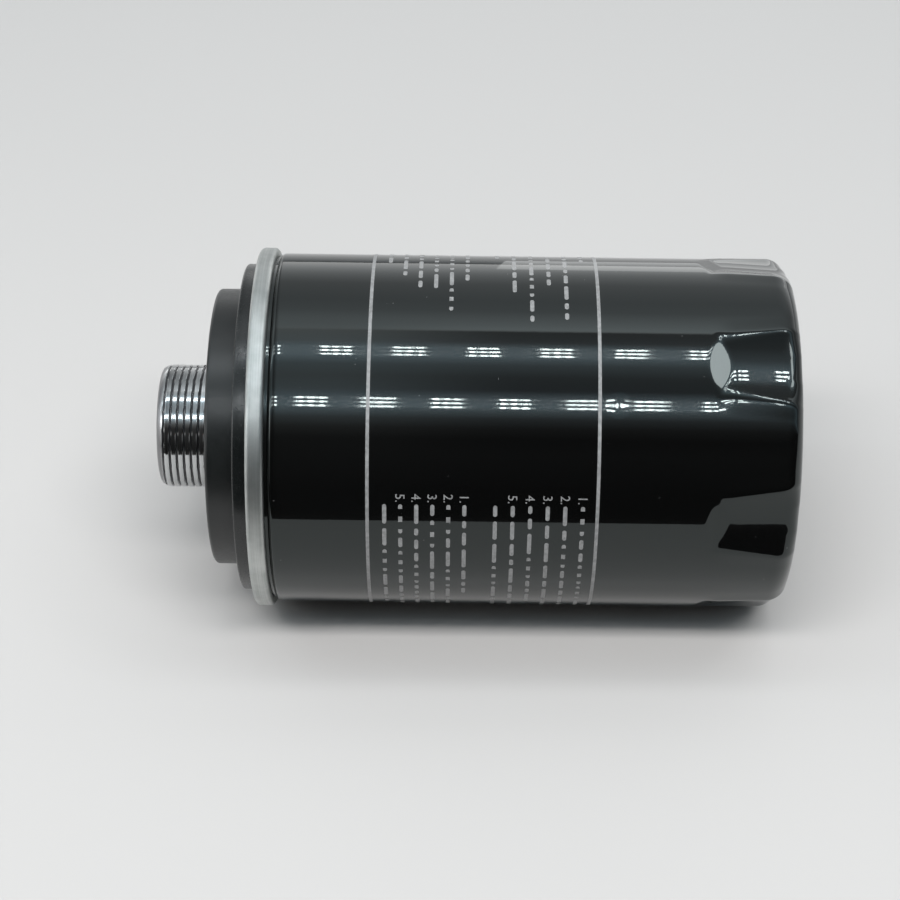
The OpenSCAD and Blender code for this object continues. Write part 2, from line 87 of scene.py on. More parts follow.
# Sizes that the frame gives
TIP_X = end_of("threaded_nipple", 0, 0)
TAIL_X = end_of("threaded_nipple", 1, 0)
SHOULDER_R = end_of("threaded_nipple", 1, 2)
END_X = end_of("can", 1, 0)
HOOK_X = end_of("can", 0, 0)
HOOK_R = end_of("can", 1, 2)
SEAM_X = end_of("seaming_lid", 0, 0)
SEAM_R = end_of("seaming_lid", 1, 2)
PLATE_X = end_of("tapping_plate", 0, 0)
FLANGE_R = end_of("gasket", 1, 2)
CHANNEL_X = end_of("gasket", 1, 0)

# Rows, here and below, are places where a flat or straight stretch has points of its own, which keep its
# shading even. On a flat face they are radii, and elsewhere places along X

# Can
CAN_R = 38.0
CAN_WALL = 0.7
CAN_START = 13.5
CAN_SHOULDER = 1.2
NECK_R = 37.21
NECK_X = 13.3
HOOK_END = 12.32
END_CORNER = 4.4
RECESS_R = 24.0
RECESS_DEPTH = 1.2
RECESS_BEND = 1.0
RECESS_SLOPE = 45.0
END_ROWS = (27.0, 29.0, 31.0, 32.4)
SIDE_ROWS = (98.0, 94.0, 80.0, 60.0, 40.0, 22.0, 16.0)
# The recess's floor has one more row, this far inside its bend
RECESS_ROWS = (0.0, 6.0, 12.0, 18.0)
RECESS_ROOM = 1.0
# The fine rows over the pockets: room before the end's corner, reach past the pockets, and spacing on the
# outside and on the inside
FINE_ROWS_ROOM = 0.3
FINE_ROWS_REACH = 3.0
FINE_ROWS_STEP = 0.36
INSIDE_ROWS_STEP = 1.0

# Wrench pockets. Each is a flat ramp down from the side and a hollow floor, which falls away and bends down
# a little towards the closed end. A blend is the height over which two faces round into each other
POCKETS = 7
STEPS_PER_POCKET = 72
POCKET_TURN = 28.3
POCKET_X = 103.5
POCKET_SLOPE = 0.238
POCKET_FLOOR_R = 38.0
POCKET_FLOOR_X = 113.8
POCKET_FLOOR_DEPTH = 1.40
POCKET_FLOOR_SLOPE = 0.0542
POCKET_FLOOR_BEND = 1000.0
POCKET_RAMP_BLEND = 0.06
POCKET_START_BLEND = 0.06
POCKET_CORNER = 2.8
# The blend of the long edges goes from the first to the second between two places
POCKET_EDGE_BLEND = (0.50, 0.24)
POCKET_EDGE_X = (108.0, 118.6)
# It gives way to the start's blend from where the ramp is this much deeper than the floor, over this change
# of the difference
RAMP_AHEAD = 0.1
RAMP_CHANGE = 0.6
# A ridge of pushed-up metal beside each long edge: height, reach to the side, start past POCKET_X, and rise
RIDGE = 0.20
RIDGE_REACH = 2.3
RIDGE_START = 1.0
RIDGE_RISE = 5.0

# Lid
SEAM_END = 12.9
SEAM_EDGE = 0.9
SEAM_PLAY = 0.08
SEAM_ROWS = (10.4, 11.1, 11.8)
LID_WALL = 0.5
CHUCK_R = 35.93
CHUCK_BEND = 0.5
CHANNEL_ROWS = (28.0, 33.0)
LIP_R = 24.95
LIP_X = 9.9
LIP_BEND = 0.4

# Gasket: a collar that seals, and a wider flange in the lid's channel
COLLAR_R = 30.1
COLLAR_X = 6.2
COLLAR_EDGE = 0.8
COLLAR_FOOT = 0.3
COLLAR_ROWS = (1.2, 2.7, 4.2, 5.7)
FLANGE_EDGE = 0.5
FLANGE_BACK_EDGE = 0.6
FLANGE_FACE_ROWS = (32.0, 34.8)
FLANGE_ROWS = (8.0, 9.45, 10.9)
FLANGE_BACK_ROWS = (33.0, 25.8)
BORE_R = 25.2
BORE_BACK_EDGE = 0.4
BORE_ROWS = (10.9, 8.475, 6.05, 3.625, 1.2)
SEALING_ROWS = (27.0, 28.2)

# Nipple. The thread's crest and root are shares of half a pitch, and its rows are counted to a pitch. Points
# within its tolerance of THREAD_R are cut. The relief's drop has its start and end past the thread
THREAD_R = 13.4
THREAD_END = 2.8
THREAD_PITCH = 1.5
THREAD_DEPTH = 0.55
THREAD_CREST = 0.62
THREAD_ROOT = 0.05
THREAD_ROWS = 20
THREAD_TOLERANCE = 0.01
LEAD_IN = 0.95
LEAD_LENGTH = 2.2
TIP_EDGE = 0.3
TIP_ROW = 10.5
RELIEF = 1.1
RELIEF_WIDTH = 2.0
RELIEF_DROP = (0.05, 0.3)
RELIEF_DROP_STEP = 0.2
RELIEF_RAMP = 0.6
PLAIN_ROW = 7.0
SHOULDER_X = 9.9
SHOULDER_FOOT = 0.3
SHOULDER_EDGE = 0.4
TAIL_R = 12.0
PLATE_END = 15.4
SWAGE_R = 13.2
SWAGE_END = 16.2
SWAGE_EDGE = 0.4
OUTLET_R = 8.5
OUTLET_CHAMFER = 0.7
OUTLET_ROW = 0.0
VALVE_BORE_R = 10.2
VALVE_BORE_CHAMFER = 0.6
VALVE_STEP_X = 6.0


# ---------------------------------------------------------------- meshes

def arc(x, r, radius, start, end, steps=8):
    """Points (x, r) of an arc about (x, r). 0 degrees points along +X, and 90 away from the axis."""
    angles = [math.radians(start + (end - start) * i / steps) for i in range(steps + 1)]
    return [(x + radius * math.cos(a), r + radius * math.sin(a)) for a in angles]


def between(start, end, step):
    """Evenly spaced points from start to end, both included."""
    count = max(1, round(math.hypot(end[0] - start[0], end[1] - start[1]) / step))
    return [(start[0] + (end[0] - start[0]) * i / count, start[1] + (end[1] - start[1]) * i / count)
            for i in range(count + 1)]


def along(places, r):
    """Points of a straight stretch at one radius."""
    return [(x, r) for x in places]


def across(x, radii):
    """Points of a flat face at one place."""
    return [(x, r) for r in radii]


def put(name, data):
    """Adds an object to the scene."""
    made = bpy.data.objects.new(name, data)
    bpy.context.scene.collection.objects.link(made)
    return made


def finish_mesh(name, verts, faces, material, sharp=32):
    """Makes an object of millimetre points, welds it and shades it smooth up to the sharp angle."""
    mesh = bpy.data.meshes.new(name)
    mesh.from_pydata([tuple(MM * c for c in v) for v in verts], [], faces)
    bm = bmesh.new()
    bm.from_mesh(mesh)
    bmesh.ops.remove_doubles(bm, verts=bm.verts, dist=WELD)
    bmesh.ops.recalc_face_normals(bm, faces=bm.faces)
    bm.to_mesh(mesh)
    bm.free()
    mesh.shade_smooth()
    mesh.set_sharp_from_angle(angle=math.radians(sharp))
    mesh.materials.append(material)
    return put(name, mesh)


def on_axis(x, r, turn):
    """The place of (x, r) at a turn in radians."""
    return (x, -r * math.sin(turn), r * math.cos(turn))


def lathe(name, section, material, steps=360, closed=True, shape=None, sharp=32):
    """Turns a section of (x, r) points about the axis. shape may change x and r by the turn."""
    turns = np.linspace(0, 2 * math.pi, steps, endpoint=False)[None, :]
    x = np.array([p[0] for p in section])[:, None] + 0 * turns
    r = np.array([p[1] for p in section])[:, None] + 0 * turns
    if shape:
        x, r = shape(x, r, turns + 0 * x)
    verts = np.stack([x, -r * np.sin(turns), r * np.cos(turns)], -1).reshape(-1, 3)
    rows = len(section)
    faces = []
    for k in range(rows if closed else rows - 1):
        a, b = k * steps, (k + 1) % rows * steps
        faces += [(a + j, a + (j + 1) % steps, b + (j + 1) % steps, b + j) for j in range(steps)]
    return finish_mesh(name, verts.tolist(), faces, material, sharp)


def soft_max(a, b, width):
    """The larger of a and b, rounded where they cross."""
    near = np.clip(width - np.abs(a - b), 0, None) / width
    return np.maximum(a, b) + near * near * width / 4


def ease(share):
    """Goes smoothly from 0 to 1 as share does."""
    return share * share * (3 - 2 * share)


def pocket_depth_at(x, turn):
    """How deep the wrench pockets reach below the can's side. It is below 0 on the ridges beside them."""
    spacing = 2 * math.pi / POCKETS
    off = (turn - math.radians(POCKET_TURN) + spacing / 2) % spacing - spacing / 2
    past = x - POCKET_FLOOR_X
    depth = POCKET_FLOOR_DEPTH + POCKET_FLOOR_SLOPE * past + past * past / (2 * POCKET_FLOOR_BEND)
    centre = CAN_R - depth + POCKET_FLOOR_R
    floor = CAN_R - (centre * np.cos(off) - np.sqrt(POCKET_FLOOR_R ** 2 - (centre * np.sin(off)) ** 2))
    ramp = CAN_R - (CAN_R - (x - POCKET_X) * POCKET_SLOPE) / np.cos(off)
    pressed = -soft_max(-floor, -ramp, POCKET_RAMP_BLEND)
    share = np.clip((x - POCKET_EDGE_X[0]) / (POCKET_EDGE_X[1] - POCKET_EDGE_X[0]), 0, 1)
    edge = POCKET_EDGE_BLEND[0] + (POCKET_EDGE_BLEND[1] - POCKET_EDGE_BLEND[0]) * share
    on_ramp = np.clip((floor - ramp + RAMP_AHEAD) / RAMP_CHANGE, 0, 1)
    edge = edge + (POCKET_START_BLEND - edge) * on_ramp
    rise = ease(np.clip((x - POCKET_X - RIDGE_START) / RIDGE_RISE, 0, 1))
    ridge = RIDGE * rise * (1 - np.clip(-floor / RIDGE_REACH, 0, 1)) ** 2
    return soft_max(0 * pressed, pressed, edge) - ridge


def corner_drop(x, radius):
    """How far the closed end's corner, rounded with a radius, has curved in from the side at x."""
    past = np.clip(x - END_X + radius, 0, None)
    return radius - np.sqrt(np.clip(radius ** 2 - past ** 2, 0, None))


def press_pockets(x, r, turn):
    """Shifts the can's skin in by the pockets' depth: the side and corner wholly, and the end face in part.

    The closed end's corner is tighter in a pocket than between them.
    """
    share = ease(np.clip((r - RECESS_R) / (CAN_R - END_CORNER - RECESS_R), 0, 1))
    share = np.where(x > CAN_START + CAN_SHOULDER, share, 0)
    depth = pocket_depth_at(x, turn)
    tighter = corner_drop(x, POCKET_CORNER) - corner_drop(x, END_CORNER)
    return x, r - share * (depth + tighter * np.clip(depth / POCKET_FLOOR_DEPTH, 0, 1))


def can_skin(inset):
    """The can's skin from the middle of the closed end to the neck, set in by inset."""
    corner_x, corner_r = END_X - END_CORNER, CAN_R - END_CORNER
    floor_x = END_X - RECESS_DEPTH
    slope, bend = RECESS_SLOPE, RECESS_BEND
    reach = bend * math.tan(math.radians(slope) / 2)
    foot_r = RECESS_R - RECESS_DEPTH / math.tan(math.radians(slope)) - reach
    skin = across(floor_x - inset, RECESS_ROWS + (foot_r - RECESS_ROOM,))
    skin += arc(floor_x + bend, foot_r, bend + inset, 180, 180 - slope, 6)
    skin += arc(END_X - bend, RECESS_R + reach, bend - inset, -slope, 0, 6)
    skin += across(END_X - inset, END_ROWS)
    skin += arc(corner_x, corner_r, END_CORNER - inset, 0, 90, 18)
    side_r = CAN_R - inset
    fine_rows = (corner_x - FINE_ROWS_ROOM, side_r), (POCKET_X - FINE_ROWS_REACH, side_r)
    skin += between(*fine_rows, INSIDE_ROWS_STEP if inset else FINE_ROWS_STEP)
    return skin + along(SIDE_ROWS, side_r)


def make_can(material):
    """Drawn can with its pockets, recess, shoulder and the inner layers of the rolled seam."""
    shoulder_x, shoulder_r = CAN_START + CAN_SHOULDER, CAN_R - CAN_SHOULDER
    meet = 180 - math.degrees(math.asin((NECK_R - shoulder_r) / CAN_SHOULDER))
    hook_r, inner_neck = HOOK_R - CAN_WALL, NECK_R - CAN_WALL
    bend = CAN_WALL / 2
    section = can_skin(0) + arc(shoulder_x, shoulder_r, CAN_SHOULDER, 90, meet, 10)
    section += along((NECK_X, HOOK_X + CAN_WALL), NECK_R)
    section += along((HOOK_X + CAN_WALL, HOOK_END), hook_r)
    section += [(HOOK_END, HOOK_R)] + arc(HOOK_X + bend, HOOK_R - bend, bend, 90, 180, 5)
    section += along((HOOK_X, CAN_START + CAN_WALL), inner_neck)
    section += reversed(can_skin(CAN_WALL))
    steps = POCKETS * STEPS_PER_POCKET
    return lathe("can_shell", section, material, steps, closed=False, shape=press_pockets)


def make_lid(material):
    """Rolled seam, chuck wall, gasket channel and lip, as one sheet's outline."""
    edge, bend = SEAM_EDGE, LID_WALL / 2
    hook_r, hook_x = HOOK_R - CAN_WALL - LID_WALL - SEAM_PLAY, HOOK_X - SEAM_PLAY
    wall_r, floor_x = CHUCK_R + LID_WALL, PLATE_X - LID_WALL
    section = arc(SEAM_X + edge, SEAM_R - edge, edge, 180, 90)
    section += along(SEAM_ROWS, SEAM_R)
    section += arc(SEAM_END - edge, SEAM_R - edge, edge, 90, 0)
    section += along((SEAM_END, PLATE_X, hook_x), hook_r)
    section += along((hook_x, PLATE_X), wall_r)
    section += [(PLATE_X, LIP_R - LID_WALL)]
    section += arc(LIP_X + bend, LIP_R - bend, bend, 270, 90)
    section += arc(floor_x - LIP_BEND, LIP_R + LIP_BEND, LIP_BEND, 270, 360, 5)
    section += across(floor_x, CHANNEL_ROWS)
    section += arc(floor_x - CHUCK_BEND, CHUCK_R - CHUCK_BEND, CHUCK_BEND, 0, 90, 5)
    section += arc(SEAM_X + edge, CHUCK_R + edge, edge, 270, 180)
    return lathe("rolled_lid", section, material)


def make_gasket(material):
    """Moulded ring: the collar that seals and the wider flange in the lid's channel."""
    edge, back = COLLAR_EDGE, FLANGE_BACK_EDGE
    section = arc(edge, COLLAR_R - edge, edge, 180, 90)
    section += along(COLLAR_ROWS, COLLAR_R)
    section += arc(COLLAR_X - COLLAR_FOOT, COLLAR_R + COLLAR_FOOT, COLLAR_FOOT, 270, 360, 4)
    section += across(COLLAR_X, FLANGE_FACE_ROWS)
    section += arc(COLLAR_X + FLANGE_EDGE, FLANGE_R - FLANGE_EDGE, FLANGE_EDGE, 180, 90)
    section += along(FLANGE_ROWS, FLANGE_R)
    section += arc(CHANNEL_X - back, FLANGE_R - back, back, 90, 0, 5)
    section += across(CHANNEL_X, FLANGE_BACK_ROWS)
    section += arc(CHANNEL_X - BORE_BACK_EDGE, BORE_R + BORE_BACK_EDGE, BORE_BACK_EDGE, 360, 270, 4)
    section += along(BORE_ROWS, BORE_R)
    section += arc(edge, BORE_R + edge, edge, 270, 180)
    section += across(0.0, SEALING_ROWS)
    return lathe("gasket_ring", section, material)


def thread_form(phase):
    """Depth of the thread below its wide flat crest, from 0 to 1, over one pitch."""
    away = np.abs(phase % 1 - 0.5) * 2
    return np.clip((away - THREAD_CREST) / (1 - THREAD_CREST - THREAD_ROOT), 0, 1)


def cut_thread(x, r, turn):
    """Cuts the rounded lead-in and the right-hand helix into the nipple's outside, up to the relief."""
    lead = THREAD_R - LEAD_IN * np.clip(1 - (x - TIP_X) / LEAD_LENGTH, 0, 1) ** 2
    phase = x / THREAD_PITCH + turn / (2 * math.pi)
    thread = THREAD_R - THREAD_DEPTH * thread_form(phase)
    outside = (r > THREAD_R - THREAD_TOLERANCE) & (x < THREAD_END)
    return x, np.where(outside, np.minimum(lead, thread), r)


def make_nipple(material):
    """Hollow nipple with a helical thread, relief groove, shoulder and swaged tail."""
    relief_r, relief_end = THREAD_R - RELIEF, THREAD_END + RELIEF_WIDTH
    section = across(TIP_X, (OUTLET_R + OUTLET_CHAMFER, TIP_ROW, THREAD_R - LEAD_IN - TIP_EDGE))
    section += between((TIP_X + TIP_EDGE, THREAD_R), (THREAD_END, THREAD_R), THREAD_PITCH / THREAD_ROWS)
    section += between((THREAD_END + RELIEF_DROP[0], THREAD_R - THREAD_DEPTH),
                       (THREAD_END + RELIEF_DROP[1], relief_r), RELIEF_DROP_STEP)
    section += [(relief_end - RELIEF_RAMP, relief_r)]
    section += along((relief_end, PLAIN_ROW, SHOULDER_X - SHOULDER_FOOT), THREAD_R)
    section += [(SHOULDER_X, THREAD_R + SHOULDER_FOOT)]
    section += arc(SHOULDER_X + SHOULDER_EDGE, SHOULDER_R - SHOULDER_EDGE, SHOULDER_EDGE, 180, 90, 5)
    section += [(PLATE_X, SHOULDER_R)] + along((PLATE_X, PLATE_END), TAIL_R)
    section += [(PLATE_END, SWAGE_R)]
    section += arc(SWAGE_END - SWAGE_EDGE, SWAGE_R - SWAGE_EDGE, SWAGE_EDGE, 90, 0, 4)
    section += along((SWAGE_END, TAIL_X), TAIL_R)
    section += [(TAIL_X, VALVE_BORE_R + VALVE_BORE_CHAMFER)]
    section += along((TAIL_X - VALVE_BORE_CHAMFER, VALVE_STEP_X), VALVE_BORE_R)
    section += along((VALVE_STEP_X, OUTLET_ROW, TIP_X + OUTLET_CHAMFER), OUTLET_R)
    return lathe("nipple_turned", section, material, steps=256, shape=cut_thread, sharp=28)


# ---------------------------------------------------------------- print on the can

# The ink stands a little proud of the paint, and its foot is buried in it
INK_R = CAN_R + 0.02
INK_FOOT = CAN_R - 0.03
# Two lines round the can
HOOPS = (34.1, 81.2)
HOOP_WIDTH = 0.7
# Small type: numerals, and dashes in the place of words
LINE_HEIGHT = 2.0
TYPE_SIZE = 2.76
NUMBER_ROOM = 2.4
DASH_HEIGHT = 0.85
DASH_TIP = 0.02
WORD_LENGTHS = (1.8, 2.6, 3.4, 4.6, 5.6, 7.0)
WORD_GAP = 1.1
LEAST_ROOM = 1.5
PRINT_SEED = 11
# Blocks of small type. Each has the place of its first line, the pitch of its lines along X, the turn in
# degrees where they start and the turns where each ends. The number 1 is on the line by the closed end, and
# the first line has no number
BLOCKS = ((37.6, 3.28, -56.0, (-17, -8, -1, 1, 13, -3)),
          (60.3, 3.58, -56.0, (-24, 1, 14, -3, 14, -20)),
          (37.6, 3.28, 70.4, (128, 140, 137, 131, 142, 118)),
          (60.3, 3.58, 70.4, (134, 139, 128, 143, 136, 140)))


def hoop_section(x):
    """Outline of a hoop line of ink, centred on x."""
    half = HOOP_WIDTH / 2
    return [(x - half, INK_FOOT), (x - half, INK_R), (x + half, INK_R), (x + half, INK_FOOT)]


def dash(start, length, x):
    """A flat dash of ink with round ends, along the can's girth from a start, in mm of arc."""
    half = DASH_HEIGHT / 2
    ends = [half * (1 - math.cos(math.radians(a))) for a in (0, 30, 60, 90)]
    stations = ends + [length / 2] + [length - end for end in reversed(ends)]
    verts, faces = [], []
    for at in stations:
        edge = min(at, length - at, half)
        reach = math.sqrt(max(half * half - (half - edge) ** 2, DASH_TIP ** 2))
        turn = (start + at) / CAN_R
        verts += [on_axis(x - reach, INK_FOOT, turn), on_axis(x - reach, INK_R, turn),
                  on_axis(x + reach, INK_R, turn), on_axis(x + reach, INK_FOOT, turn)]
    last = 4 * len(stations) - 4
    for first in range(0, last, 4):
        faces += [(first + i, first + (i + 1) % 4, first + 4 + (i + 1) % 4, first + 4 + i) for i in range(4)]
    return verts, faces + [(0, 1, 2, 3), (last, last + 1, last + 2, last + 3)]


def numeral(text, start, x):
    """A plain numeral, read along the girth with its top towards the closed end."""
    curve = bpy.data.curves.new("numeral", "FONT")
    curve.body = text
    curve.size = TYPE_SIZE
    curve.extrude = 0.5
    curve.resolution_u = 3
    shape = bpy.data.objects.new("numeral", curve)
    mesh = shape.to_mesh()
    verts = []
    for v in mesh.vertices:
        # Any extrusion does, because the ink's own foot and face take its place
        r = INK_R if v.co.z > 0 else INK_FOOT
        verts.append(on_axis(x - LINE_HEIGHT / 2 + v.co.y, r, (start + v.co.x) / CAN_R))
    faces = [tuple(p.vertices) for p in mesh.polygons]
    shape.to_mesh_clear()
    bpy.data.objects.remove(shape)
    bpy.data.curves.remove(curve)
    return verts, faces


def words(rng, start, end):
    """Starts and lengths of a line's word-long dashes between two places along the girth."""
    found, at = [], start
    while at < end - LEAST_ROOM:
        length = min(rng.choice(WORD_LENGTHS), end - at)
        found.append((at, length))
        at += length + WORD_GAP
    return found


def make_small_type(material):
    """Four blocks of numbered lines, whose words are plain dashes."""
    rng = random.Random(PRINT_SEED)
    verts, faces = [], []

    def add(part):
        base = len(verts)
        verts.extend(part[0])
        faces.extend(tuple(base + i for i in f) for f in part[1])

    for first_x, pitch, first_turn, last_turns in BLOCKS:
        start = math.radians(first_turn) * CAN_R
        for i, last_turn in enumerate(last_turns):
            x = first_x + i * pitch
            if i > 0:
                add(numeral(f"{len(last_turns) - i}.", start, x))
            for at, length in words(rng, start + NUMBER_ROOM, math.radians(last_turn) * CAN_R):
                add(dash(at, length, x))
    return finish_mesh("small_type", verts, faces, material)


# ---------------------------------------------------------------- materials

class Nodes:
    """A node tree, with short calls for the nodes that the materials and the sky need."""

    def __init__(self, tree):
        self.tree = tree

    def feed(self, socket, value):
        """Links a socket to another one, or sets its value."""
        if isinstance(value, bpy.types.NodeSocket):
            self.tree.links.new(value, socket)
        else:
            socket.default_value = value

    def add(self, kind, inputs=None, **settings):
        """A new node with its settings and its inputs, by name or by number."""
        made = self.tree.nodes.new(kind)
        for key, value in settings.items():
            setattr(made, key, value)
        for key, value in (inputs or {}).items():
            self.feed(made.inputs[key], value)
        return made

    def math(self, operation, *values):
        return self.add("ShaderNodeMath", dict(enumerate(values)), operation=operation).outputs[0]

    def span(self, value, low, high, to_low, to_high, **settings):
        """Takes a value from the range low to high over to the range to_low to to_high."""
        made = self.add("ShaderNodeMapRange", {"Value": value, "From Min": low, "From Max": high,
                                               "To Min": to_low, "To Max": to_high}, **settings)
        return made.outputs["Result"]

    def blend(self, share, a, b):
        """Colour a where share is 0 and b where it is 1."""
        return self.add("ShaderNodeMix", {0: share, 6: a, 7: b}, data_type="RGBA").outputs[2]


class Shader(Nodes):
    """A material's node tree, in the object's own coordinates."""

    def __init__(self, name):
        self.material = bpy.data.materials.new(name)
        self.material.use_nodes = True
        super().__init__(self.material.node_tree)
        self.surface = self.tree.nodes["Principled BSDF"]

    def set(self, **values):
        """Sets sockets of the surface by name, with _ for a space."""
        for key, value in values.items():
            self.feed(self.surface.inputs[key.replace("_", " ")], value)

    def place(self):
        """The point on the object, in millimetres."""
        at = self.add("ShaderNodeTexCoord").outputs["Object"]
        return self.add("ShaderNodeVectorMath", {0: at, 3: 1 / MM}, operation="SCALE").outputs[0]

    def radius(self):
        """Distance from the axis, in millimetres."""
        parts = self.add("ShaderNodeSeparateXYZ", {0: self.place()}).outputs
        return self.math("SQRT", self.math("ADD", self.math("POWER", parts[1], 2.0),
                                           self.math("POWER", parts[2], 2.0)))

    def girth(self, fine, around):
        """A place that is stretched round the axis: fine marks across, long marks around."""
        parts = self.add("ShaderNodeSeparateXYZ", {0: self.place()}).outputs
        radius = self.math("MAXIMUM", self.radius(), 0.01)
        across_marks = self.math("MULTIPLY", self.math("ADD", parts[0], radius), fine)
        side = self.math("MULTIPLY", self.math("DIVIDE", parts[1], radius), around)
        up = self.math("MULTIPLY", self.math("DIVIDE", parts[2], radius), around)
        return self.add("ShaderNodeCombineXYZ", {0: across_marks, 1: side, 2: up}).outputs[0]

    def noise(self, place, scale, detail=3.0, roughness=0.55):
        made = self.add("ShaderNodeTexNoise", {"Vector": place, "Scale": scale, "Detail": detail,
                                               "Roughness": roughness})
        return made.outputs["Fac"]

    def vary(self, noise, low, high, reach=0.15):
        """A value from low to high as a noise goes from reach below its middle to reach above it."""
        return self.span(noise, 0.5 - reach, 0.5 + reach, low, high)

    def tint(self, noise, low, high, reach=0.15):
        """A colour from low to high, as vary does for a value."""
        return self.blend(self.vary(noise, 0.0, 1.0, reach), low, high)

    def mix(self, a, b, share):
        """The value a with a share of b in it."""
        return self.math("ADD", self.math("MULTIPLY", a, 1 - share), self.math("MULTIPLY", b, share))

    def bump(self, height, strength, depth=0.02):
        """Bump from a height, whose full range is depth in mm."""
        made = self.add("ShaderNodeBump", {"Height": height, "Strength": strength, "Distance": depth * MM})
        self.set(Normal=made.outputs["Normal"])


def colour(red, green, blue):
    return (red, green, blue, 1.0)


def grey(value):
    return colour(value, value, value)


# Specks of dust on the paint: cells per mm, a speck's radius in cells, and the noise above which they lie
DUST_CELLS = 0.42
DUST_R = 0.028
DUST_PATCH = 0.52
# A small dent in the side, beside the second hoop line. Its depth is in shares of the orange peel's
DENT_PLACE = (85.1, -25.4, 28.2)
DENT_R = 2.8
DENT_DEPTH = 14.0


def paint_black():
    """Gloss black stoved paint: faint orange peel, soft haze, a few specks of dust and one dent."""
    look = Shader("gloss_black_paint")
    place = look.place()
    speck = look.add("ShaderNodeTexVoronoi", {"Vector": place, "Scale": DUST_CELLS, "Randomness": 1.0})
    near = look.math("LESS_THAN", speck.outputs["Distance"], DUST_R)
    rare = look.math("GREATER_THAN", look.noise(place, 0.11, 1.0), DUST_PATCH)
    dust = look.math("MULTIPLY", near, rare)
    haze = look.vary(look.noise(place, 0.05, 2.0), 0.02, 0.045)
    look.set(Base_Color=look.blend(dust, grey(0.0016), grey(0.20)),
             Roughness=look.math("ADD", haze, look.math("MULTIPLY", dust, 0.5)),
             IOR=1.52, Specular_Tint=colour(0.89, 1.0, 0.985), Coat_Weight=0.12, Coat_Roughness=0.18)
    away = look.add("ShaderNodeVectorMath", {0: place, 1: DENT_PLACE}, operation="DISTANCE").outputs["Value"]
    dent = look.span(away, 0.0, DENT_R, DENT_DEPTH, 0.0)
    look.bump(look.math("SUBTRACT", look.noise(place, 0.6), dent), 0.13)
    return look.material


def zinc_plate():
    """Rolled zinc-plated sheet: fine streaks round the axis and a cloudy satin bloom."""
    look = Shader("zinc_plated_sheet")
    streak = look.noise(look.girth(5.0, 1.6), 1.0, 4.0, 0.6)
    tone = look.mix(streak, look.noise(look.place(), 0.22), 0.5)
    look.set(Base_Color=look.tint(tone, colour(0.37, 0.385, 0.375), colour(0.55, 0.565, 0.55)),
             Roughness=look.vary(tone, 0.50, 0.42), Metallic=1.0)
    look.bump(streak, 0.25)
    return look.material


def turned_steel():
    """Bright machined steel with lathe lines. It is rougher in the thread's grooves, and its colour is
    darkened there as painted shade.
    """
    look = Shader("turned_steel")
    lines = look.noise(look.girth(7.0, 0.5), 1.0, 3.0, 0.6)
    radius = look.radius()
    relief_r = THREAD_R - RELIEF
    below_crest = look.span(radius, THREAD_R - 0.75 * THREAD_DEPTH, THREAD_R - 0.05, 1.0, 0.0)
    above_bore = look.span(radius, relief_r - 0.3, relief_r, 0.0, 1.0)
    # groove marks the thread's grooves, where the colour is darkened as painted shade and the roughness rises
    groove = look.math("MULTIPLY", below_crest, above_bore)
    bright = look.tint(lines, colour(0.42, 0.43, 0.435), colour(0.58, 0.59, 0.59))
    # Painted shade: the colour goes to dark grey in the thread's grooves
    look.set(Base_Color=look.blend(groove, bright, colour(0.27, 0.27, 0.275)),
             Roughness=look.math("ADD", look.vary(lines, 0.11, 0.06), look.math("MULTIPLY", groove, 0.26)),
             Metallic=1.0)
    look.bump(lines, 0.06)
    return look.material


def sheet_steel(name, low, high, rough):
    """Pressed sheet or wire: soft mottling, light scuffs and a satin face."""
    look = Shader(name)
    scuff = look.noise(look.girth(3.0, 2.0), 1.0, 5.0, 0.7)
    tone = look.mix(look.noise(look.place(), 0.35, 4.0), scuff, 0.4)
    look.set(Base_Color=look.tint(tone, low, high, 0.12),
             Roughness=look.vary(scuff, rough + 0.07, rough - 0.05), Metallic=1.0)
    look.bump(tone, 0.2)
    return look.material


def moulded(name, low, high, rough, grain=1.6):
    """Moulded rubber or plastic: fine grain and slight bloom."""
    look = Shader(name)
    place = look.place()
    fine = look.noise(place, grain)
    look.set(Base_Color=look.tint(look.noise(place, 0.16), low, high),
             Roughness=look.vary(fine, rough - 0.05, rough + 0.07, 0.2))
    look.bump(fine, 0.12)
    return look.material


def sealing_rubber():
    """Moulded gasket rubber: a satin collar, a glossier flange and a light bloom."""
    look = Shader("gasket_rubber")
    place = look.place()
    fine = look.noise(place, 1.3)
    flange = look.span(look.radius(), COLLAR_R + 0.2, COLLAR_R + 1.2, 0.0, 1.0)
    satin = look.math("SUBTRACT", 0.34, look.math("MULTIPLY", flange, 0.10))
    bloom = look.noise(place, 0.12)
    look.set(Base_Color=look.tint(bloom, colour(0.004, 0.005, 0.005), colour(0.007, 0.008, 0.008)),
             Roughness=look.math("ADD", satin, look.vary(fine, -0.04, 0.05, 0.2)), Specular_IOR_Level=0.55)
    look.bump(fine, 0.10)
    return look.material


def paper():
    """Resin-treated filter paper with a fibrous face."""
    look = Shader("filter_paper")
    place = look.place()
    fibre = look.noise(place, 2.4, 6.0, 0.75)
    tone = look.mix(fibre, look.noise(place, 0.2, 2.0), 0.4)
    look.set(Base_Color=look.tint(tone, colour(0.56, 0.42, 0.19), colour(0.78, 0.66, 0.38)),
             Roughness=look.vary(fibre, 0.8, 0.95, 0.2))
    look.bump(fibre, 0.5, 0.05)
    return look.material


def ink():
    """White screen ink, a little uneven."""
    look = Shader("white_ink")
    patch = look.noise(look.place(), 1.3)
    look.set(Base_Color=look.tint(patch, grey(0.16), grey(0.24)), Roughness=look.vary(patch, 0.28, 0.4))
    return look.material


# ---------------------------------------------------------------- camera, floor and light

